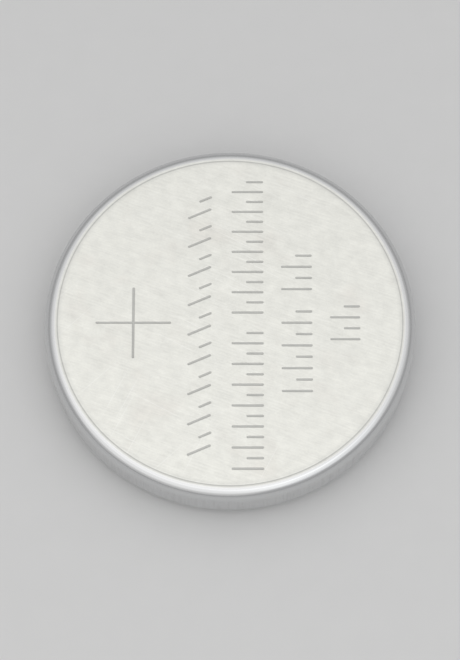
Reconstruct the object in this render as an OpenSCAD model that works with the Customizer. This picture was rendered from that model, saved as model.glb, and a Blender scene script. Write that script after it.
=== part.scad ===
// Round flat lithium cell, 20 mm by 3.2 mm, lying on its negative face.
//
// The origin is the middle of the negative face, and +Z points out of the
// positive face. Every piece is a body of revolution about Z, so each one is
// a half section in the X-Y plane (x is the radius, y is the height) that
// rotate_extrude turns. Sheet pieces are the difference of two filled
// outlines, an outer one and an inner one, with bends about one centre.

/* [Cell] */
// Overall diameter, across the steel can
cell_d = 20; // [18:0.1:24.5]
// Overall height, from the negative face to the positive face
cell_h = 3.2; // [2.5:0.1:5.4]

/* [Positive can] */
// Thickness of the can's sheet
can_t = 0.25; // [0.2:0.01:0.3]
// Inside radius of the bend round the positive face
can_bend_r = 0.35; // [0.2:0.05:0.5]
// Inside radius of the crimp, where the wall turns in over the seal
crimp_bend_r = 0.75; // [0.6:0.05:0.8]
// How far the crimped rim reaches in from the outside of the can
crimp_reach = 1.15; // [1.1:0.05:1.3]
// Height of the crimped rim above the negative face
rim_rise = 0.15; // [0.1:0.01:0.2]
// Rounding of the rim's sheared edge
rim_edge_r = 0.06; // [0.03:0.01:0.1]

/* [Negative cap] */
// Thickness of the cap's sheet
cap_t = 0.25; // [0.2:0.01:0.3]
// Inside radius of the bend round the negative face
cap_bend_r = 0.1; // [0.05:0.01:0.15]
// Outside radius of the bend from the riser into the terrace
step_bend_r = 0.1; // [0.05:0.01:0.15]
// Inside radius of the bend from the terrace into the skirt
skirt_bend_r = 0.15; // [0.05:0.01:0.2]

/* [Sealing gasket] */
// Thickness of the side wall, between the can and the skirt of the cap
gasket_side_t = 0.5; // [0.4:0.01:0.6]
// Thickness squeezed under the terrace by the crimp
gasket_crimp_t = 0.35; // [0.3:0.01:0.45]
// Thickness of the base, between the end of the skirt and the can
gasket_base_t = 0.5; // [0.3:0.05:0.6]
// Thickness of the inner leg, inside the skirt
gasket_leg_t = 0.3; // [0.2:0.05:0.4]
// Width of the lip that shows between the cap and the rim
gasket_lip_w = 0.3; // [0.25:0.05:0.4]
// How far the lip stays back from the face of the rim
gasket_lip_recess = 0.07; // [0:0.01:0.12]
// Rounding of the two edges of the lip
gasket_edge_r = 0.07; // [0.03:0.01:0.12]
// Free height between the terrace and the end of the inner leg
gasket_leg_gap = 0.6; // [0.3:0.05:0.7]

/* [Electrodes] */
// Thickness of the lithium disc
lithium_t = 0.6; // [0.3:0.05:0.8]
// Radial gap from the lithium disc to the bend of the cap
lithium_gap = 0.4; // [0.2:0.05:1]
// Thickness of the separator
separator_t = 0.2; // [0.1:0.05:0.3]
// Height of the separator's turned-up rim, from its underside
separator_h = 1.1; // [0.6:0.05:1.2]
// Outside radius of the separator's bend
separator_bend_r = 0.35; // [0.3:0.05:0.5]
// Radial gap from the separator's rim to the riser of the cap
separator_gap = 0.1; // [0.05:0.01:0.3]
// Radial gap from the separator's rim to the collector ring
ring_gap = 0.05; // [0.02:0.01:0.15]
// Thickness of the collector ring's sheet
ring_t = 0.2; // [0.1:0.05:0.25]
// Inside radius of the collector ring's bend
ring_bend_r = 0.1; // [0.05:0.01:0.2]
// Width of the collector ring's flange under the can, inside its wall
ring_flange_w = 0.9; // [0.5:0.1:3]
// Height between the separator and the free edge of the collector ring
ring_stop = 0.3; // [0.2:0.05:0.5]
// Chamfer round the pressed edge of the cathode pellet
pellet_chamfer = 0.12; // [0:0.01:0.2]

/* [Hidden] */

$fn = 192;

// Radii, worked out from the outside in
can_r = cell_d / 2;
can_in_r = can_r - can_t;
mouth_r = can_r - crimp_reach;
skirt_r = can_in_r - gasket_side_t;
skirt_in_r = skirt_r - cap_t;
leg_in_r = skirt_in_r - gasket_leg_t;
plateau_r = mouth_r - gasket_lip_w;
plateau_in_r = plateau_r - cap_t;
cup_r = plateau_in_r - separator_gap;
cup_in_r = cup_r - separator_t;
ring_r = cup_in_r - ring_gap;
pellet_r = ring_r - ring_t;
flange_in_r = pellet_r - ring_flange_w;
lithium_r = plateau_in_r - cap_bend_r - lithium_gap;

// Heights, worked out from the negative face up
rim_in_z = rim_rise + can_t;
lip_z = rim_rise + gasket_lip_recess;
terrace_z = rim_in_z + gasket_crimp_t;
terrace_in_z = terrace_z + cap_t;
leg_z = terrace_in_z + gasket_leg_gap;
can_floor_z = cell_h - can_t;
skirt_end_z = can_floor_z - gasket_base_t;
separator_z = cap_t + lithium_t;
pellet_z = separator_z + separator_t;
ring_z = pellet_z + ring_stop;
flange_z = can_floor_z - ring_t;

// The sliver between a sharp corner at radius r and height z and an arc that
// meets both of its sides. The arc's centre lies inwards or outwards of the
// corner (side -1 or 1) and below or above it (up -1 or 1). Taken off a solid,
// it rounds a corner. Added to one, it is a fillet.
module corner(r, z, bend_r, side, up) {
    arc_r = r + side * bend_r;
    arc_z = z + up * bend_r;
    difference() {
        translate([min(r, arc_r), min(z, arc_z)])
            square(bend_r);
        translate([arc_r, arc_z])
            circle(r = bend_r);
    }
}

// A filled half section from the axis out to r and from lo up to hi, with
// its lower and upper outer corners rounded. A radius of 0 leaves a corner.
module filled(r, lo, hi, lo_r = 0, hi_r = 0) {
    difference() {
        translate([0, lo])
            square([r, hi - lo]);
        if (lo_r > 0)
            corner(r, lo, lo_r, -1, 1);
        if (hi_r > 0)
            corner(r, hi, hi_r, -1, -1);
    }
}

// The half section of the can's outside, as if it were solid
module can_outside() {
    filled(can_r, rim_rise, cell_h, crimp_bend_r + can_t, can_bend_r + can_t);
}

// The half section of the space that the can encloses
module can_inside() {
    filled(can_in_r, rim_in_z, can_floor_z, crimp_bend_r, can_bend_r);
}

// The half section of the cap's outside, as if it were solid
module cap_outside() {
    filled(plateau_r, 0, skirt_end_z, cap_bend_r + cap_t);
    filled(skirt_r, terrace_z, skirt_end_z, skirt_bend_r + cap_t);
    corner(plateau_r, terrace_z, step_bend_r, 1, -1);
}

// The half section of the space that the cap encloses
module cap_inside() {
    filled(plateau_in_r, cap_t, skirt_end_z, cap_bend_r);
    filled(skirt_in_r, terrace_in_z, skirt_end_z, skirt_bend_r);
    corner(plateau_in_r, terrace_in_z, step_bend_r + cap_t, 1, -1);
}

// The steel can: positive face, side wall and the rim crimped over the seal
module positive_can() {
    color("gainsboro")
        rotate_extrude()
            difference() {
                can_outside();
                can_inside();
                translate([0, rim_rise])
                    square([mouth_r, can_t]);
                corner(mouth_r, rim_rise, rim_edge_r, 1, 1);
            }
}

// The moulded seal: it fills the space between the can and the cap, shows as
// a thin ring inside the rim, and its inner leg holds the end of the skirt
module sealing_gasket() {
    color("whitesmoke")
        rotate_extrude() {
            difference() {
                intersection() {
                    can_inside();
                    translate([plateau_r, rim_in_z])
                        square([can_in_r - plateau_r, can_floor_z - rim_in_z]);
                }
                cap_outside();
                translate([0, skirt_end_z])
                    square([leg_in_r, gasket_base_t]);
            }
            difference() {
                translate([plateau_r, lip_z])
                    square([gasket_lip_w, rim_in_z - lip_z]);
                corner(plateau_r, lip_z, gasket_edge_r, 1, 1);
                corner(mouth_r, lip_z, gasket_edge_r, -1, 1);
            }
            translate([leg_in_r, leg_z])
                square([gasket_leg_t, skirt_end_z - leg_z]);
        }
}

// The steel cap: negative face, riser, terrace under the crimp and skirt
module negative_cap() {
    color("silver")
        rotate_extrude()
            difference() {
                cap_outside();
                cap_inside();
            }
}

// The pressed manganese dioxide pellet, with a step for the ring's flange
module cathode_pellet() {
    color("dimgray")
        rotate_extrude()
            difference() {
                union() {
                    filled(pellet_r, pellet_z, flange_z, 0, ring_bend_r);
                    filled(flange_in_r, flange_z, can_floor_z);
                }
                if (pellet_chamfer > 0)
                    chamfer_cut(pellet_r, pellet_z, pellet_chamfer);
            }
}

// What a chamfer takes off the lower outer corner at radius r and height z
module chamfer_cut(r, z, size) {
    polygon([
        [r - size, z],
        [r, z],
        [r, z + size]
    ]);
}

// The steel ring of L section that is pressed round the pellet and welded to
// the can, so that the pellet keeps its contact as it swells
module cathode_collector_ring() {
    color("darkgray")
        rotate_extrude()
            difference() {
                filled(ring_r, ring_z, can_floor_z, 0, ring_bend_r + ring_t);
                filled(pellet_r, ring_z, flange_z, 0, ring_bend_r);
                filled(flange_in_r, flange_z, can_floor_z);
            }
}

// The nonwoven separator, a shallow cup with its rim turned up round the ring
module separator() {
    color("ivory")
        rotate_extrude()
            difference() {
                filled(cup_r, separator_z, separator_z + separator_h, separator_bend_r);
                filled(cup_in_r, pellet_z, separator_z + separator_h, separator_bend_r - separator_t);
            }
}

// The disc of lithium foil that is pressed onto the inside of the cap
module lithium_anode() {
    color("lightsteelblue")
        translate([0, 0, cap_t])
            cylinder(r = lithium_r, h = lithium_t);
}

positive_can();
sealing_gasket();
negative_cap();
cathode_pellet();
cathode_collector_ring();
separator();
lithium_anode();
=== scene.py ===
# %% [markdown]
# Dressing a round flat lithium cell.
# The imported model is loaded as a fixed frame. Its seven solids lie one inside
# another: can, gasket, cap, pellet, collector ring, separator and lithium.
# Three of them show from outside, and get finely turned pieces of their own.
# The four inside keep their solids, and only get a finish.

# %% Load the frame
import math

import bmesh
import bpy
from mathutils import Matrix, Vector


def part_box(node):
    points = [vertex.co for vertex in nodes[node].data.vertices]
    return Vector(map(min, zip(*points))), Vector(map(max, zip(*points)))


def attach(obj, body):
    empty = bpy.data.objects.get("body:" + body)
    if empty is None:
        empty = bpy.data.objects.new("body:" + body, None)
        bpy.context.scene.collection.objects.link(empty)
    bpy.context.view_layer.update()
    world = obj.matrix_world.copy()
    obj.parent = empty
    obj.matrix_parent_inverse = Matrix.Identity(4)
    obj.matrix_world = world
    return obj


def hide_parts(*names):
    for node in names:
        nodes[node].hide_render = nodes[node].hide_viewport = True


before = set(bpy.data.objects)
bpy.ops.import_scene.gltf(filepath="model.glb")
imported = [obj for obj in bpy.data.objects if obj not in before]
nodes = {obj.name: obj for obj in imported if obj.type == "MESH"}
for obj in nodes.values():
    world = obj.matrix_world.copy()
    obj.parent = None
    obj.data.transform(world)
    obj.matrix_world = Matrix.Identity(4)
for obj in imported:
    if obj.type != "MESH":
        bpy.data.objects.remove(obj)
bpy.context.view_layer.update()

print("nodes:", ", ".join(sorted(nodes)))

# %% [markdown]
# Sizes.
# Blender works in metres here, and a coin cell is a few millimetres high, so
# every size is written in millimetres times MM. What the frame can tell is
# read from it: the box around each solid gives the outside of the can, the
# inside of the can (where the gasket ends) and the end of the cap. The lithium
# starts on the inside of the cap, so its underside gives the cap's sheet. The
# bends, the reach of the crimp and the gasket's walls can't be read from a
# box, so they are named here.

# %% Read the sizes
MM = 0.001

can_low, can_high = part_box("positive_can")
gasket_low, gasket_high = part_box("sealing_gasket")
cap_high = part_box("negative_cap")[1]
lithium_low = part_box("lithium_anode")[0]

can_r = can_high.x
face_z = can_high.z
rim_z = can_low.z
can_in_r = gasket_high.x
can_floor_z = gasket_high.z
lip_z = gasket_low.z
skirt_r = cap_high.x
skirt_end_z = cap_high.z
can_t = can_r - can_in_r
cap_t = lithium_low.z

can_bend_r = 0.35 * MM
crimp_bend_r = 0.75 * MM
crimp_reach = 1.15 * MM
cap_bend_r = 0.1 * MM
step_bend_r = 0.1 * MM
skirt_bend_r = 0.15 * MM
gasket_lip_w = 0.3 * MM
gasket_crimp_t = 0.35 * MM
gasket_leg_t = 0.3 * MM
gasket_leg_gap = 0.6 * MM

mouth_r = can_r - crimp_reach
plateau_r = mouth_r - gasket_lip_w
skirt_in_r = skirt_r - cap_t
leg_in_r = skirt_in_r - gasket_leg_t
rim_in_z = rim_z + can_t
terrace_z = rim_in_z + gasket_crimp_t
terrace_in_z = terrace_z + cap_t
leg_z = terrace_in_z + gasket_leg_gap

print(f"can {2 * can_r / MM:.2f} mm across, {face_z / MM:.2f} mm high, sheet {can_t / MM:.2f} mm")

# %% [markdown]
# Turning a piece from its half section.
# Every piece of a coin cell is round, so the quickest true way to make one is
# to draw half of its section and spin it about Z. The section is drawn with
# sharp corners first, as one flat face. Each corner that is a bend is then
# bevelled as a vertex, which gives an arc that meets both sides smoothly, and
# the bend's radius stays a plain number in the list of corners. The face is
# deleted before the spin, because only its outline is wanted, and so is an
# edge on the axis, which would turn into nothing. Points on the axis land on
# each other, and merging them closes the poles. Shading is smooth over the
# bends and hard at real corners, which are all sharper than SHARP_ANGLE.

# %% Turn a closed half section
TURN_STEPS = 288
BEND_SEGMENTS = 14
EDGE_SEGMENTS = 8
SMALL_BEND = 0.12 * MM
MERGE_DISTANCE = 0.001 * MM
SHARP_ANGLE = math.radians(14)


def shade(bm):
    """Smooth shading, with hard edges where two faces meet at a real corner."""
    for face in bm.faces:
        face.smooth = True
    for edge in bm.edges:
        edge.smooth = len(edge.link_faces) == 2 and edge.calc_face_angle() < SHARP_ANGLE


def piece_from(bm, name):
    """Makes an object of a finished bmesh and puts it in the scene."""
    mesh = bpy.data.meshes.new(name)
    bm.to_mesh(mesh)
    bm.free()
    piece = bpy.data.objects.new(name, mesh)
    bpy.context.scene.collection.objects.link(piece)
    return piece


def turned(corners):
    """A closed solid of revolution from corners, each (radius, height, bend radius)."""
    bm = bmesh.new()
    outline = [bm.verts.new((radius, 0, height)) for radius, height, _ in corners]
    bm.faces.new(outline)
    for vert, (_, _, bend) in zip(outline, corners):
        if bend > 0:
            bmesh.ops.bevel(
                bm,
                geom=[vert],
                offset=bend,
                offset_type="OFFSET",
                segments=EDGE_SEGMENTS if bend < SMALL_BEND else BEND_SEGMENTS,
                profile=0.5,
                affect="VERTICES",
                material=-1,
            )
    bmesh.ops.delete(bm, geom=bm.faces[:], context="FACES_ONLY")
    on_axis = [edge for edge in bm.edges if max(vert.co.x for vert in edge.verts) < MERGE_DISTANCE]
    bmesh.ops.delete(bm, geom=on_axis, context="EDGES")
    bmesh.ops.spin(
        bm,
        geom=bm.verts[:] + bm.edges[:],
        cent=(0, 0, 0),
        axis=(0, 0, 1),
        angle=math.tau,
        steps=TURN_STEPS,
        use_merge=True,
    )
    bmesh.ops.remove_doubles(bm, verts=bm.verts[:], dist=MERGE_DISTANCE)
    bmesh.ops.recalc_face_normals(bm, faces=bm.faces[:])
    return bm


def report(piece):
    """Prints a piece's size, volume and triangles, and how many of its edges are open."""
    bm = bmesh.new()
    bm.from_mesh(piece.data)
    open_edges = sum(len(edge.link_faces) != 2 for edge in bm.edges)
    triangles = sum(len(face.verts) - 2 for face in bm.faces)
    volume = bm.calc_volume() / MM**3
    bm.free()
    size = [round(side / MM, 3) for side in piece.dimensions]
    print(f"{piece.name}: {size} mm, {volume:.1f} mm3, {triangles} triangles, {open_edges} open edges")


# %% [markdown]
# The positive can.
# On the real cell this is a cup of nickel-plated stainless sheet, drawn to a
# round with a soft bend round its face. After filling, a die turns the open
# end of the wall in over the seal. So the section is one sheet of even
# thickness: the face, the wall, and the curled rim. Where the face meets the
# bend, the drawing die leaves a hair-fine ring, which is a groove of three
# shallow corners here. Plain points just beside a groove or a bend hold the
# flat parts flat when the shading is smoothed. The disc inside the ring is
# joined into one face, which the marks are cut from later.

# %% Turn the can
RING_MARK_R = can_r - 0.7 * MM
RING_MARK_W = 0.07 * MM
RING_MARK_DEPTH = 0.012 * MM
RIM_EDGE_R = 0.06 * MM
HOLD = 0.02 * MM


def make_can():
    outer_bend = can_bend_r + can_t
    crimp_outer = crimp_bend_r + can_t
    corners = [
        (0, face_z, 0),
        (RING_MARK_R - RING_MARK_W - HOLD, face_z, 0),
        (RING_MARK_R - RING_MARK_W, face_z, 0),
        (RING_MARK_R, face_z - RING_MARK_DEPTH, 0),
        (RING_MARK_R + RING_MARK_W, face_z, 0),
        (can_r, face_z, outer_bend),
        (can_r, face_z - outer_bend - HOLD, 0),
        (can_r, rim_z + crimp_outer + HOLD, 0),
        (can_r, rim_z, crimp_outer),
        (mouth_r, rim_z, RIM_EDGE_R),
        (mouth_r, rim_in_z, 0),
        (can_in_r, rim_in_z, crimp_bend_r),
        (can_in_r, can_floor_z, can_bend_r),
        (0, can_floor_z, 0),
    ]
    bm = turned(corners)
    middles = [(face, face.calc_center_median()) for face in bm.faces]
    disc_r = RING_MARK_R - RING_MARK_W - HOLD
    disc_z = face_z - MERGE_DISTANCE
    disc = [face for face, middle in middles if middle.xy.length < disc_r and middle.z > disc_z]
    bmesh.ops.dissolve_faces(bm, faces=disc)
    return piece_from(bm, "can_shell")


can_shell = make_can()
report(can_shell)

# %% [markdown]
# The marks pressed into the face.
# The face carries a plus sign, which only says which pole it is, and rows of
# fine marks that run across it. The rows are plain tall and short bars, like
# the ticks on a gauge, so they give the face its texture without saying
# anything. Each mark is a real groove with sloping walls: GROOVE_SLOPE is how
# far a wall reaches sideways for each step down. The cutter of one groove is
# a cone with its two halves pulled apart, which gives a bar with round ends.
# It starts a little above the face, so that it cuts the face cleanly.

# %% Make the groove cutters
GROOVE_LIFT = 0.01 * MM
GROOVE_SLOPE = 2.6
GROOVE_ENDS = 14

PLUS_X = -5.2 * MM
PLUS_SIZE = 4.1 * MM
PLUS_W = 0.17 * MM
PLUS_DEPTH = 0.02 * MM


def add_groove(bm, place, length, angle, width, depth):
    """Adds the cutter of one bar, with its middle at place and turned by angle from the X axis."""
    made = bmesh.ops.create_cone(
        bm,
        cap_ends=True,
        segments=GROOVE_ENDS,
        radius1=width / 2 - GROOVE_SLOPE * depth,
        radius2=width / 2 + GROOVE_SLOPE * GROOVE_LIFT,
        depth=depth + GROOVE_LIFT,
    )
    for vert in made["verts"]:
        vert.co.x += math.copysign((length - width) / 2, vert.co.x)
    middle = Vector((*place, face_z + (GROOVE_LIFT - depth) / 2))
    move = Matrix.Translation(middle) @ Matrix.Rotation(angle, 4, "Z")
    bmesh.ops.transform(bm, matrix=move, verts=made["verts"])


# %% [markdown]
# Laying out the rows.
# The rows are data: where each one stands, how long and how high it is, how
# many pairs of bars it has, and after how many pairs it has a gap. A pair is
# one tall bar and one short one, and both end on the same line. The two bars
# stand a quarter and three quarters of the way along their pair's length.

# %% Lay out the rows of bars
BAR_W = 0.18 * MM
BAR_DEPTH = 0.018 * MM
TALL_BAR = 1.0
SHORT_BAR = 0.55
PAIR = ((0.25, TALL_BAR), (0.75, SHORT_BAR))
ROW_MIDDLE_Y = -0.15 * MM
GAP_PAIRS = 0.5
LEAN_OF_BARS = math.radians(24)

# each row: x of its middle, length, height, pairs, pairs before the gap, lean
ROWS = [
    (-1.65 * MM, 15.2 * MM, 1.4 * MM, 9, 0, LEAN_OF_BARS),
    (0.95 * MM, 17.0 * MM, 1.75 * MM, 14, 7, 0),
    (3.6 * MM, 8.4 * MM, 1.7 * MM, 6, 4, 0),
    (6.2 * MM, 2.5 * MM, 1.65 * MM, 2, 0, 0),
]


def add_row(bm, x, length, height, pairs, split, lean):
    """Adds a row of bars that runs along Y."""
    gap = GAP_PAIRS if split else 0
    pitch = length / (pairs + gap)
    for pair in range(pairs):
        start = ROW_MIDDLE_Y - length / 2 + pitch * (pair + (gap if pair >= split else 0))
        for step, share in PAIR:
            bar = height * share
            place = (x + (height - bar) / 2, start + pitch * step)
            add_groove(bm, place, bar, lean, BAR_W, BAR_DEPTH)


def make_cutters():
    """Two cutters, because the two bars of the plus sign cross each other."""
    plus_place = (PLUS_X, ROW_MIDDLE_Y)
    rows = bmesh.new()
    add_groove(rows, plus_place, PLUS_SIZE, 0, PLUS_W, PLUS_DEPTH)
    for row in ROWS:
        add_row(rows, *row)
    upright = bmesh.new()
    add_groove(upright, plus_place, PLUS_SIZE, math.pi / 2, PLUS_W, PLUS_DEPTH)
    print("bars:", sum(pairs for _, _, _, pairs, _, _ in ROWS) * len(PAIR))
    return [piece_from(rows, "groove_cutter"), piece_from(upright, "upright_cutter")]


# %% [markdown]
# Cutting the marks.
# A Boolean modifier keeps the shell closed, so the grooves are part of the
# sheet and not drawn on it. The modifier is applied at once, and the cutters
# are thrown away. The cut leaves the flat face as two faces with hundreds of
# corners. The Beauty method cuts them into triangles that all have an area,
# where a plainer method leaves a few slivers. The shading comes after that,
# because the cut makes new edges.

# %% Cut the marks into the face
MOST_CORNERS = 4


def cut_away(piece, cutters):
    """Cuts each cutter from the piece and keeps the result as the piece's own mesh."""
    for cutter in cutters:
        modifier = piece.modifiers.new("marks", "BOOLEAN")
        modifier.operation = "DIFFERENCE"
        modifier.solver = "EXACT"
        modifier.object = cutter
    bpy.context.view_layer.update()
    graph = bpy.context.evaluated_depsgraph_get()
    mesh = bpy.data.meshes.new_from_object(piece.evaluated_get(graph))
    piece.modifiers.clear()
    piece.data = mesh
    for cutter in cutters:
        bpy.data.objects.remove(cutter)


def clean_up(piece):
    """Cuts the faces with many corners into triangles and sets the shading."""
    bm = bmesh.new()
    bm.from_mesh(piece.data)
    many_cornered = [face for face in bm.faces if len(face.verts) > MOST_CORNERS]
    bmesh.ops.triangulate(bm, faces=many_cornered, ngon_method="BEAUTY")
    shade(bm)
    bm.to_mesh(piece.data)
    bm.free()


cut_away(can_shell, make_cutters())
clean_up(can_shell)
report(can_shell)

# %% [markdown]
# The negative cap.
# The cap is a second drawn cup, set into the can upside down. Its flat face
# is the negative pole. A short riser leads to a terrace that the crimp
# presses on, and the skirt stands in the gasket. Every corner of the sheet
# has two bends about one centre, so the outer radius of each is the inner
# one plus the sheet's thickness.

# %% Turn the cap


def make_cap():
    face_bend = cap_bend_r + cap_t
    plateau_in_r = plateau_r - cap_t
    corners = [
        (0, 0, 0),
        (plateau_r - face_bend - HOLD, 0, 0),
        (plateau_r, 0, face_bend),
        (plateau_r, terrace_z, step_bend_r),
        (skirt_r, terrace_z, skirt_bend_r + cap_t),
        (skirt_r, skirt_end_z, 0),
        (skirt_in_r, skirt_end_z, 0),
        (skirt_in_r, terrace_in_z, skirt_bend_r),
        (plateau_in_r, terrace_in_z, step_bend_r + cap_t),
        (plateau_in_r, cap_t, cap_bend_r),
        (0, cap_t, 0),
    ]
    bm = turned(corners)
    shade(bm)
    return piece_from(bm, "cap_shell")


cap_shell = make_cap()
report(cap_shell)

# %% [markdown]
# The sealing gasket.
# The seal is moulded as a J, and the crimp squeezes it until it fills the
# space between the two sheets. Its section follows the inside of the can on
# one side and the outside of the cap on the other. The end that shows between
# the cap and the rim is squeezed out a little, so its two edges are rounded.

# %% Turn the gasket
LIP_EDGE_R = 0.07 * MM


def make_gasket():
    corners = [
        (mouth_r, lip_z, LIP_EDGE_R),
        (mouth_r, rim_in_z, 0),
        (can_in_r, rim_in_z, crimp_bend_r),
        (can_in_r, can_floor_z, can_bend_r),
        (leg_in_r, can_floor_z, 0),
        (leg_in_r, leg_z, 0),
        (skirt_in_r, leg_z, 0),
        (skirt_in_r, skirt_end_z, 0),
        (skirt_r, skirt_end_z, 0),
        (skirt_r, terrace_z, skirt_bend_r + cap_t),
        (plateau_r, terrace_z, step_bend_r),
        (plateau_r, lip_z, LIP_EDGE_R),
    ]
    bm = turned(corners)
    shade(bm)
    return piece_from(bm, "gasket_ring")


gasket_ring = make_gasket()
report(gasket_ring)

# %% [markdown]
# Writing shader maths as plain sums.
# A finish is a small network of nodes. Built by hand it is long to read, so
# one class wraps a node's socket and lets it be used in Python sums: each
# sum adds its Math node. The forms with an r before their name are for sums
# that start with a plain number, such as 1 - mask.

# %% Wrap a socket


class Level:
    """A number that varies over the surface, as a socket that can be used in sums."""

    def __init__(self, finish, socket):
        self.finish = finish
        self.socket = socket

    def __add__(self, other):
        return self.finish.sum("ADD", self, other)

    def __sub__(self, other):
        return self.finish.sum("SUBTRACT", self, other)

    def __rsub__(self, other):
        return self.finish.sum("SUBTRACT", other, self)

    def __mul__(self, other):
        return self.finish.sum("MULTIPLY", self, other)

    def __pow__(self, other):
        return self.finish.sum("POWER", self, other)

    def __abs__(self):
        return self.finish.node("ShaderNodeMath", {"operation": "ABSOLUTE"}, {0: self})

    __radd__ = __add__
    __rmul__ = __mul__

    def sibling(self, output):
        """Another output of the same node."""
        return Level(self.finish, self.socket.node.outputs[output])


# %% [markdown]
# Holding one material.
# A second class holds a material. One method adds any node from its type, its
# settings and the values or links of its sockets, and the others are short
# names for the nodes that the finishes below use most. Some sockets are given
# by number, because Mix and Map Range have several sockets of one name, one
# for each kind of data.

# %% Wrap a material


class Finish:
    """One material, with its shader and the nodes that feed it."""

    def __init__(self, name, **constants):
        self.material = bpy.data.materials.new(name)
        self.material.use_nodes = True
        self.tree = self.material.node_tree
        self.shader = self.tree.nodes["Principled BSDF"]
        for socket, value in constants.items():
            self.shader.inputs[socket.replace("_", " ")].default_value = value

    def node(self, kind, settings=None, sockets=None, output=0):
        """Adds a node, sets it, fills its sockets and returns one of its outputs."""
        made = self.tree.nodes.new(kind)
        for name, value in (settings or {}).items():
            setattr(made, name, value)
        for name, value in (sockets or {}).items():
            if isinstance(value, Level):
                self.tree.links.new(value.socket, made.inputs[name])
            else:
                made.inputs[name].default_value = value
        return Level(self, made.outputs[output])

    def sum(self, operation, first, second):
        return self.node("ShaderNodeMath", {"operation": operation}, {0: first, 1: second})

    def feed(self, **links):
        """Links levels to the shader's sockets, named with _ for a space."""
        for socket, level in links.items():
            self.tree.links.new(level.socket, self.shader.inputs[socket.replace("_", " ")])
        print(f"{self.material.name}: {len(self.tree.nodes)} nodes")

    def place(self):
        """The point of the surface in the piece's own metres."""
        return self.node("ShaderNodeTexCoord", output="Object")

    def parts(self, vector):
        """The three numbers of a vector."""
        split = self.tree.nodes.new("ShaderNodeSeparateXYZ")
        self.tree.links.new(vector.socket, split.inputs[0])
        return [Level(self, socket) for socket in split.outputs]

    def joined(self, x, y, z):
        return self.node("ShaderNodeCombineXYZ", None, {0: x, 1: y, 2: z})

    def turned_by(self, vector, angle, scale, shift=(0, 0, 0)):
        """The pattern's own axes: the surface turned about Z, then stretched and shifted."""
        spun = self.node("ShaderNodeMapping", None, {"Vector": vector, "Rotation": (0, 0, angle)})
        sockets = {"Vector": spun, "Scale": scale, "Location": shift}
        return self.node("ShaderNodeMapping", None, sockets)

    def noise(self, vector, scale, detail, roughness):
        """Soft random levels round 0.5, with scale cells to the metre."""
        return self.node(
            "ShaderNodeTexNoise",
            {"noise_dimensions": "3D"},
            {"Vector": vector, "Scale": scale, "Detail": detail, "Roughness": roughness},
        )

    def rising(self, level, low, high, low_value=0.0, high_value=1.0):
        """A smooth step, 0 where the level is under low and 1 where it is over high."""
        return self.node(
            "ShaderNodeMapRange",
            {"interpolation_type": "SMOOTHSTEP"},
            {"Value": level, 1: low, 2: high, 3: low_value, 4: high_value},
        )

    def falling(self, level, low, high):
        """The same step turned round, 1 under low and 0 over high."""
        return self.rising(level, low, high, 1.0, 0.0)

    def blend(self, amount, first, second):
        """A colour between two, by an amount from 0 to 1."""
        return self.node(
            "ShaderNodeMix",
            {"data_type": "RGBA"},
            {0: amount, 6: first, 7: second},
            output=2,
        )

    def relief(self, height, depth):
        """A bump whose height of 1 stands depth metres high."""
        sockets = {"Strength": 1.0, "Distance": depth, "Height": height}
        return self.node("ShaderNodeBump", None, sockets)


def rgb(red, green, blue):
    return (red, green, blue, 1.0)


# %% [markdown]
# Hairline scratches.
# Handling leaves a few short fine scratches on any bare metal. A Voronoi
# texture puts one point in each cell of a grid. With cells that are very long
# and narrow, the spot round each point becomes a thin line. The texture also
# gives each cell a random colour, and only cells that draw a high number keep
# their line, so that the lines stay few and lie scattered. Each direction is
# shifted to other cells, or all would keep the same lines, only turned.

# %% Make scratches
SCRATCH_LENGTH = 5 * MM
SCRATCH_W = 0.05 * MM
SCRATCH_REACH = 0.12
SCRATCH_SHIFT = Vector((7.3, 31.7, 0))
CHANCE_STEP = 0.01


def scratches(finish, place, angles, share):
    """Fine lines in the given directions, 1 on a line and 0 beside it."""
    total = None
    across = (2 * SCRATCH_REACH / SCRATCH_LENGTH, 2 * SCRATCH_REACH / SCRATCH_W, 0)
    for turn, angle in enumerate(angles):
        cells = finish.turned_by(place, angle, across, SCRATCH_SHIFT * turn)
        spot = finish.node(
            "ShaderNodeTexVoronoi",
            {"voronoi_dimensions": "2D"},
            {"Vector": cells, "Scale": 1.0, "Randomness": 1.0},
        )
        chance = finish.parts(spot.sibling("Color"))[0]
        kept = finish.rising(chance, 1 - share, 1 - share + CHANCE_STEP)
        line = finish.falling(spot, 0.0, SCRATCH_REACH) * kept
        total = line if total is None else total + line
    return total


# %% [markdown]
# The zones of the can.
# The can is one sheet with several finishes, so its material needs to know
# where on the can a point lies. Each zone is a level from 0 to 1, picked by
# the point's radius and height, with a soft step at its border. The floor of
# a pressed mark is picked by its depth below the face. The colour is darkened
# in the mark floors and in a band round the die ring, which is painted shade
# in those hollows.

# %% Pick the zones of the can
FACE_FADES = (can_r - 0.66 * MM, can_r - 0.5 * MM)
FACE_STARTS = (face_z - 0.3 * MM, face_z - 0.2 * MM)
MARK_FADES = (face_z - 0.015 * MM, face_z - 0.002 * MM)
RING_FADES = (0.05 * MM, 0.3 * MM)
WALL_STARTS = (rim_z + 0.9 * MM, rim_z + 1.1 * MM)
WALL_FADES = (face_z - 0.7 * MM, face_z - 0.55 * MM)


def can_zones(finish, radius, z):
    """The levels on the face, in a mark, near the ring and on the wall."""
    on_face = finish.falling(radius, *FACE_FADES) * finish.rising(z, *FACE_STARTS)
    in_mark = finish.falling(z, *MARK_FADES) * on_face
    in_ring = finish.falling(abs(radius - RING_MARK_R), *RING_FADES) * on_face
    on_wall = finish.rising(z, *WALL_STARTS) * finish.falling(z, *WALL_FADES)
    return on_face, in_mark, in_ring, on_wall
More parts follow.
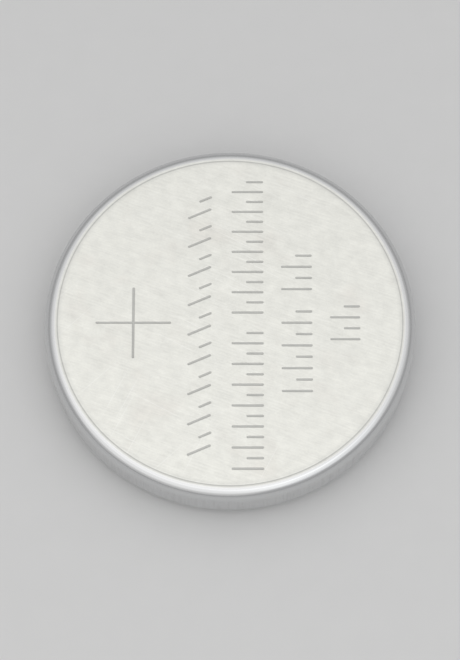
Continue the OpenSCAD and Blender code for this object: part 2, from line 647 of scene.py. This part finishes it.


# %% [markdown]
# The finish of the can.
# The face is matte, with the fine grain of rolled sheet, a few faint stains
# and hairlines. Both bends are bright, with fine rings from the dies that
# formed them. The wall between them has draw marks that run up it. Grain and
# draw marks are noises stretched along one direction. The grain's noise has a
# scale of 1, because its stretch already says how many cells lie in a metre.
# A metal's colour only tints what it mirrors, so each pattern changes colour,
# roughness and bump a little, and none of them much. The face's own colour is
# set paler than plated nickel, so part of its paleness is painted light.

# %% Finish the can
# each noise: cells to the metre, levels of detail, roughness of the detail
ROLLED = (1.0, 3.0, 0.6)
SPECKLE = (9000, 2.0, 0.6)
MOTTLE = (1500, 3.0, 0.6)
STAIN = (330, 3.0, 0.6)
DRAW_MARKS = (8000, 2.0, 0.6)
DIE_RINGS = (14000, 2.0, 0.6)

ROLLED_STRETCH = (900, 11000, 900)
DRAW_STRETCH = 0.06
CAN_ROLLED_ANGLE = 0.35
CAN_SCRATCHES = (0.5, -1.1, 2.4)
CAN_SCRATCH_SHARE = 0.12
CAN_RELIEF = 0.003 * MM
FACE_ROUGH = 0.42
SIDE_ROUGH = 0.22

# The face colour is paler than plated nickel: matte plating, plus painted light.
CAN_FACE_PAINTED_PALE = rgb(0.86, 0.857, 0.806)
CAN_STAIN = rgb(0.77, 0.74, 0.69)
CAN_GRAIN = rgb(0.62, 0.62, 0.59)
CAN_LINE = rgb(0.90, 0.90, 0.88)
CAN_SIDE = rgb(0.70, 0.705, 0.71)
CAN_DRAW = rgb(0.58, 0.58, 0.585)
# Painted shade: the colour that the mark floors and the band round the die ring are darkened towards.
CAN_GROOVE_SHADE = rgb(0.54, 0.54, 0.52)


def can_finish():
    finish = Finish("nickel_plated_can", Metallic=1.0)
    place = finish.place()
    x, y, z = finish.parts(place)
    radius = (x * x + y * y) ** 0.5
    on_face, in_mark, in_ring, on_wall = can_zones(finish, radius, z)

    along = finish.turned_by(place, CAN_ROLLED_ANGLE, ROLLED_STRETCH)
    grain = finish.noise(along, *ROLLED)
    speckle = finish.noise(place, *SPECKLE)
    mottle = finish.noise(place, *MOTTLE)
    stain = finish.rising(finish.noise(place, *STAIN), 0.52, 0.72)
    draw = finish.noise(finish.joined(x, y, z * DRAW_STRETCH), *DRAW_MARKS)
    rings = finish.noise(finish.joined(radius, z, 0), *DIE_RINGS)
    drawn = draw * on_wall + (rings * 0.6 + 0.2) * (1 - on_wall)
    hairlines = scratches(finish, place, CAN_SCRATCHES, CAN_SCRATCH_SHARE)

    face = finish.blend(stain * 0.45, CAN_FACE_PAINTED_PALE, CAN_STAIN)
    face = finish.blend(grain * 0.5 + speckle * 0.3 + mottle * 0.6 - 0.45, face, CAN_GRAIN)
    face = finish.blend(hairlines * 0.5, face, CAN_LINE)
    # Painted shade: the mark floors and a band round the die ring are darkened.
    face = finish.blend(in_mark * 0.9 + in_ring * 0.24, face, CAN_GROOVE_SHADE)
    side = finish.blend(finish.rising(drawn, 0.4, 0.7) * 0.5, CAN_SIDE, CAN_DRAW)
    colour = finish.blend(on_face, side, face)

    face_rough = FACE_ROUGH + (grain - 0.5) * 0.2 + (speckle - 0.5) * 0.12
    face_rough = face_rough + (mottle - 0.5) * 0.1 - hairlines * 0.1
    side_rough = SIDE_ROUGH + (drawn - 0.5) * 0.2
    rough = face_rough * on_face + side_rough * (1 - on_face) + in_mark * 0.15

    height = (grain * 0.6 + speckle * 0.4 - hairlines * 0.5) * on_face + drawn * 0.4 * (1 - on_face)
    finish.feed(Base_Color=colour, Roughness=rough, Normal=finish.relief(height, CAN_RELIEF))
    return finish.material


can_steel = can_finish()

# %% [markdown]
# The finish of the cap.
# The cap is the same kind of sheet without plating. Its face is pressed with
# a fine satin texture, which is a close noise in the bump, over the faint
# lines of the rolled sheet. It is a little darker and greyer than the can.
# The satin fades on the bend, where the punch has drawn the sheet smooth.

# %% Finish the cap
CAP_FACE = rgb(0.67, 0.66, 0.63)
CAP_WORN = rgb(0.82, 0.81, 0.78)
SATIN = (7000, 3.0, 0.65)
CAP_CLOUD = (400, 3.0, 0.55)
CAP_ROLLED_ANGLE = 1.2
CAP_SCRATCHES = (0.2, 1.3, 2.2)
CAP_SCRATCH_SHARE = 0.08
CAP_RELIEF = 0.004 * MM
CAP_ROUGH = 0.38
BEND_STARTS = (plateau_r - 0.4 * MM, plateau_r - 0.3 * MM)


def cap_finish():
    finish = Finish("satin_cap", Metallic=1.0)
    place = finish.place()
    x, y, _ = finish.parts(place)
    on_bend = finish.rising((x * x + y * y) ** 0.5, *BEND_STARTS)

    satin = finish.noise(place, *SATIN)
    satin = satin * (1 - on_bend * 0.8) + on_bend * 0.4
    cloud = finish.noise(place, *CAP_CLOUD)
    along = finish.turned_by(place, CAP_ROLLED_ANGLE, ROLLED_STRETCH)
    grain = finish.noise(along, *ROLLED)
    hairlines = scratches(finish, place, CAP_SCRATCHES, CAP_SCRATCH_SHARE)

    pale = cloud * 0.4 + satin * 0.4 + grain * 0.6 + hairlines * 0.6 - 0.5
    colour = finish.blend(pale, CAP_FACE, CAP_WORN)
    rough = CAP_ROUGH + (satin - 0.5) * 0.2 + (cloud - 0.5) * 0.1
    rough = rough - on_bend * 0.12 - hairlines * 0.1
    height = satin * 0.7 + grain * (1 - on_bend) * 0.5 - hairlines * 0.5
    finish.feed(Base_Color=colour, Roughness=rough, Normal=finish.relief(height, CAP_RELIEF))
    return finish.material


cap_steel = cap_finish()

# %% [markdown]
# The finish of the gasket.
# The seal is natural polypropylene: milky, a little grey where it is thin,
# and waxy. It isn't a metal, so its colour comes from the base colour and its
# sheen from a middling roughness.

# %% Finish the gasket
GASKET_MILKY = rgb(0.66, 0.67, 0.65)
GASKET_THIN = rgb(0.50, 0.51, 0.50)
GASKET_CLOUD = (900, 3.0, 0.6)
GASKET_FLOW = (5000, 2.0, 0.5)
GASKET_IOR = 1.49
GASKET_ROUGH = 0.42
GASKET_RELIEF = 0.004 * MM


def gasket_finish():
    finish = Finish("milky_seal", Metallic=0.0, IOR=GASKET_IOR)
    place = finish.place()
    cloud = finish.noise(place, *GASKET_CLOUD)
    flow = finish.noise(place, *GASKET_FLOW)
    colour = finish.blend(finish.rising(cloud, 0.3, 0.7), GASKET_MILKY, GASKET_THIN)
    rough = GASKET_ROUGH + (flow - 0.5) * 0.2
    finish.feed(Base_Color=colour, Roughness=rough, Normal=finish.relief(flow, GASKET_RELIEF))
    return finish.material


gasket_plastic = gasket_finish()

# %% [markdown]
# The finishes of the cathode.
# Nothing inside shows while the cell is whole, but each solid has the look
# that it has on a bench. The pellet is pressed black powder with specks of
# graphite, which shine a little. The ring round it is thin drawn steel, with
# draw marks that run up its wall.

# %% Finish the pellet and its ring
POWDER_BLACK = rgb(0.018, 0.018, 0.019)
POWDER_GREY = rgb(0.05, 0.05, 0.052)
GRAPHITE = rgb(0.16, 0.16, 0.165)
POWDER = (6000, 4.0, 0.7)
FLAKES = (11000, 1.0, 0.5)
POWDER_ROUGH = 0.75
POWDER_RELIEF = 0.01 * MM

RING_DARK = rgb(0.52, 0.52, 0.51)
RING_PALE = rgb(0.60, 0.60, 0.59)
RING_DRAW_MARKS = (9000, 2.0, 0.6)
RING_STRETCH = 0.08
RING_ROUGH = 0.28
RING_RELIEF = 0.001 * MM


def pellet_finish():
    finish = Finish("pressed_powder", Metallic=0.0)
    place = finish.place()
    powder = finish.noise(place, *POWDER)
    flakes = finish.rising(finish.noise(place, *FLAKES), 0.62, 0.72)
    colour = finish.blend(powder, POWDER_BLACK, POWDER_GREY)
    colour = finish.blend(flakes, colour, GRAPHITE)
    rough = POWDER_ROUGH - flakes * 0.35
    finish.feed(Base_Color=colour, Roughness=rough, Normal=finish.relief(powder, POWDER_RELIEF))
    return finish.material


def ring_finish():
    finish = Finish("drawn_ring", Metallic=1.0)
    x, y, z = finish.parts(finish.place())
    draw = finish.noise(finish.joined(x, y, z * RING_STRETCH), *RING_DRAW_MARKS)
    colour = finish.blend(draw, RING_DARK, RING_PALE)
    rough = RING_ROUGH + (draw - 0.5) * 0.2
    finish.feed(Base_Color=colour, Roughness=rough, Normal=finish.relief(draw, RING_RELIEF))
    return finish.material


black_powder = pellet_finish()
ring_steel = ring_finish()

# %% [markdown]
# The finishes of the separator and the lithium.
# The separator is a felt: fine fibres that lie in all directions, which four
# stretched noises stand for, each turned another way. The lithium is soft
# foil with streaks from the roller, and a dull skin grows on it in patches.

# %% Finish the separator and the lithium
FELT_GREY = rgb(0.66, 0.65, 0.60)
FELT_WHITE = rgb(0.84, 0.83, 0.79)
FIBRES = (1.0, 2.0, 0.5)
FIBRE_ANGLES = (0.1, 0.9, 1.7, 2.6)
FIBRE_STRETCH = (900, 16000, 2500)
FELT_ROUGH = 0.85
FELT_RELIEF = 0.02 * MM

LITHIUM_BRIGHT = rgb(0.55, 0.56, 0.58)
LITHIUM_SKIN = rgb(0.36, 0.36, 0.37)
SKIN = (500, 4.0, 0.6)
SMEAR = (1.0, 4.0, 0.6)
SMEAR_ANGLE = 0.7
SMEAR_STRETCH = (250, 3500, 800)
LITHIUM_ROUGH = 0.4
LITHIUM_RELIEF = 0.01 * MM


def separator_finish():
    finish = Finish("nonwoven_felt", Metallic=0.0)
    place = finish.place()
    fibres = None
    for angle in FIBRE_ANGLES:
        lay = finish.noise(finish.turned_by(place, angle, FIBRE_STRETCH), *FIBRES)
        strand = finish.rising(lay, 0.5, 0.66)
        fibres = strand if fibres is None else fibres + strand
    fibres = fibres * 0.4
    colour = finish.blend(fibres, FELT_GREY, FELT_WHITE)
    rough = FELT_ROUGH - fibres * 0.1
    finish.feed(Base_Color=colour, Roughness=rough, Normal=finish.relief(fibres, FELT_RELIEF))
    return finish.material


def lithium_finish():
    finish = Finish("dull_lithium", Metallic=1.0)
    place = finish.place()
    smear = finish.noise(finish.turned_by(place, SMEAR_ANGLE, SMEAR_STRETCH), *SMEAR)
    skin = finish.rising(finish.noise(place, *SKIN), 0.42, 0.62)
    colour = finish.blend(skin, LITHIUM_BRIGHT, LITHIUM_SKIN)
    rough = LITHIUM_ROUGH + skin * 0.25 + (smear - 0.5) * 0.2
    finish.feed(Base_Color=colour, Roughness=rough, Normal=finish.relief(smear, LITHIUM_RELIEF))
    return finish.material


white_felt = separator_finish()
lithium_foil = lithium_finish()

# %% [markdown]
# Putting the pieces together.
# A turned piece stands for its solid, which is then hidden, and rides on the
# only body that a cell without joints has. The inner solids stay as they are:
# only the material in their slot changes.

# %% Assign finishes and bodies
DRESSED = [
    (can_shell, "positive_can", "can_steel", can_steel),
    (cap_shell, "negative_cap", "cap_steel", cap_steel),
    (gasket_ring, "sealing_gasket", "gasket_plastic", gasket_plastic),
]
INNER = {
    "cathode_pellet": black_powder,
    "cathode_collector_ring": ring_steel,
    "separator": white_felt,
    "lithium_anode": lithium_foil,
}

for piece, node, slot, material in DRESSED:
    piece.data.materials.append(material)
    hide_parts(node)
    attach(piece, "root")
    print(piece.name, "stands for", node)

for node, material in INNER.items():
    nodes[node].data.materials.clear()
    nodes[node].data.materials.append(material)
    print(node, "is finished as", material.name)

# %% [markdown]
# The floor.
# The cell lies on a plain pale board. It is far larger than the view, and its
# tone is close to the horizon's, so that no edge shows behind the cell.

# %% Lay the floor
FLOOR_HALF = 1.5
FLOOR_PALE = rgb(0.68, 0.68, 0.68)
FLOOR_GREY = rgb(0.66, 0.66, 0.66)
FLOOR_ROUGH = 0.9
BOARD = (600, 2.0, 0.5)


def make_floor():
    bm = bmesh.new()
    bmesh.ops.create_grid(bm, x_segments=1, y_segments=1, size=FLOOR_HALF)
    floor = piece_from(bm, "pale_floor")
    finish = Finish("pale_board", Roughness=FLOOR_ROUGH)
    tone = finish.noise(finish.place(), *BOARD)
    finish.feed(Base_Color=finish.blend(tone, FLOOR_PALE, FLOOR_GREY))
    floor.data.materials.append(finish.material)
    print(f"floor {2 * FLOOR_HALF:.0f} m across")


make_floor()

# %% [markdown]
# The light.
# Metal shows what is around it, so the surroundings matter more than the
# lamps. The world is a plain dome that changes with height alone: bright
# overhead, like a large soft light, dimmer lower down, like the room behind
# it, and a little paler again at the horizon, where it meets the floor. The
# matte face mirrors the bright part and comes out about as pale as it is
# written, and each bend runs through all the tones from top to bottom.

# %% Set the dome
# each stop: height of the direction from 0 at the horizon to 1 overhead, tone
DOME = [(0.0, 0.535), (0.08, 0.53), (0.24, 0.42), (0.44, 0.50), (0.78, 0.88), (1.0, 1.13)]


def light_dome():
    world = bpy.data.worlds.new("dome")
    bpy.context.scene.world = world
    world.use_nodes = True
    tree = world.node_tree
    direction = tree.nodes.new("ShaderNodeTexCoord")
    split = tree.nodes.new("ShaderNodeSeparateXYZ")
    tones = tree.nodes.new("ShaderNodeValToRGB")
    ramp = tones.color_ramp
    ramp.interpolation = "EASE"
    for height, _ in DOME[1:-1]:
        ramp.elements.new(height)
    for stop, (height, tone) in zip(ramp.elements, DOME):
        stop.position = height
        stop.color = rgb(tone, tone, tone)
    tree.links.new(direction.outputs["Generated"], split.inputs[0])
    tree.links.new(split.outputs["Z"], tones.inputs[0])
    tree.links.new(tones.outputs["Color"], tree.nodes["Background"].inputs["Color"])
    print("dome tones:", ", ".join(str(tone) for _, tone in DOME))


light_dome()

# %% [markdown]
# The lamps.
# Two soft lamps near the cell, one slightly warm and one slightly cool, give
# the bend its highlights and make the face a little brighter towards its
# lower edge. They are wide for their distance, because a small lamp of the
# same power would be so bright in the bend that its highlight turned white.

# %% Set the lamps
# each lamp: name, direction from the cell, distance, side, power, colour
LAMPS = [
    ("warm_lamp", (-0.3, -0.58, 1), 75 * MM, 108 * MM, 0.007, (1.0, 0.98, 0.94)),
    ("cool_lamp", (0.55, -0.5, 1), 90 * MM, 70 * MM, 0.003, (0.92, 0.97, 1.0)),
]


def soft_lamp(name, direction, distance, side, power, colour):
    """A square lamp that looks at the cell from a direction."""
    lamp = bpy.data.lights.new(name, "AREA")
    lamp.shape = "SQUARE"
    lamp.size = side
    lamp.energy = power
    lamp.color = colour
    holder = bpy.data.objects.new(name, lamp)
    away = Vector(direction).normalized()
    holder.location = away * distance
    holder.rotation_euler = away.to_track_quat("Z", "Y").to_euler()
    bpy.context.scene.collection.objects.link(holder)
    print(f"{name} {distance / MM:.0f} mm away")


for lamp in LAMPS:
    soft_lamp(*lamp)

# %% [markdown]
# The camera.
# It looks down on the positive face, through a long lens from far enough away
# that near and far edge look almost equally large. The lean to the lower edge
# flattens the round face a little and lets the side wall show there. The cell
# takes up CELL_SHARE of the picture's width. The picture is taller than it is
# wide, so the sensor's size goes with its height.

# %% Set the camera
LENS = 150.0
SENSOR = 36.0
PHOTO_W, PHOTO_H = 460, 660
CELL_SHARE = 0.8
LEAN = math.radians(20)
CLIP_SPAN = 50


def set_camera():
    camera_data = bpy.data.cameras.new("camera")
    camera_data.lens = LENS
    camera_data.sensor_width = SENSOR
    camera = bpy.data.objects.new("camera", camera_data)
    bpy.context.scene.collection.objects.link(camera)
    bpy.context.scene.camera = camera
    view_width = 2 * can_r / CELL_SHARE
    sensor_across = SENSOR * PHOTO_W / PHOTO_H
    distance = view_width * LENS / sensor_across
    back = Vector((0, -math.sin(LEAN), math.cos(LEAN)))
    camera.location = Vector((0, 0, face_z / 2)) + back * distance
    camera.rotation_euler = back.to_track_quat("Z", "Y").to_euler()
    camera_data.clip_start = distance / CLIP_SPAN
    camera_data.clip_end = distance * CLIP_SPAN
    print(f"camera {distance / MM:.0f} mm away, view {view_width / MM:.1f} mm wide")


set_camera()
bpy.context.scene.view_settings.view_transform = "Standard"
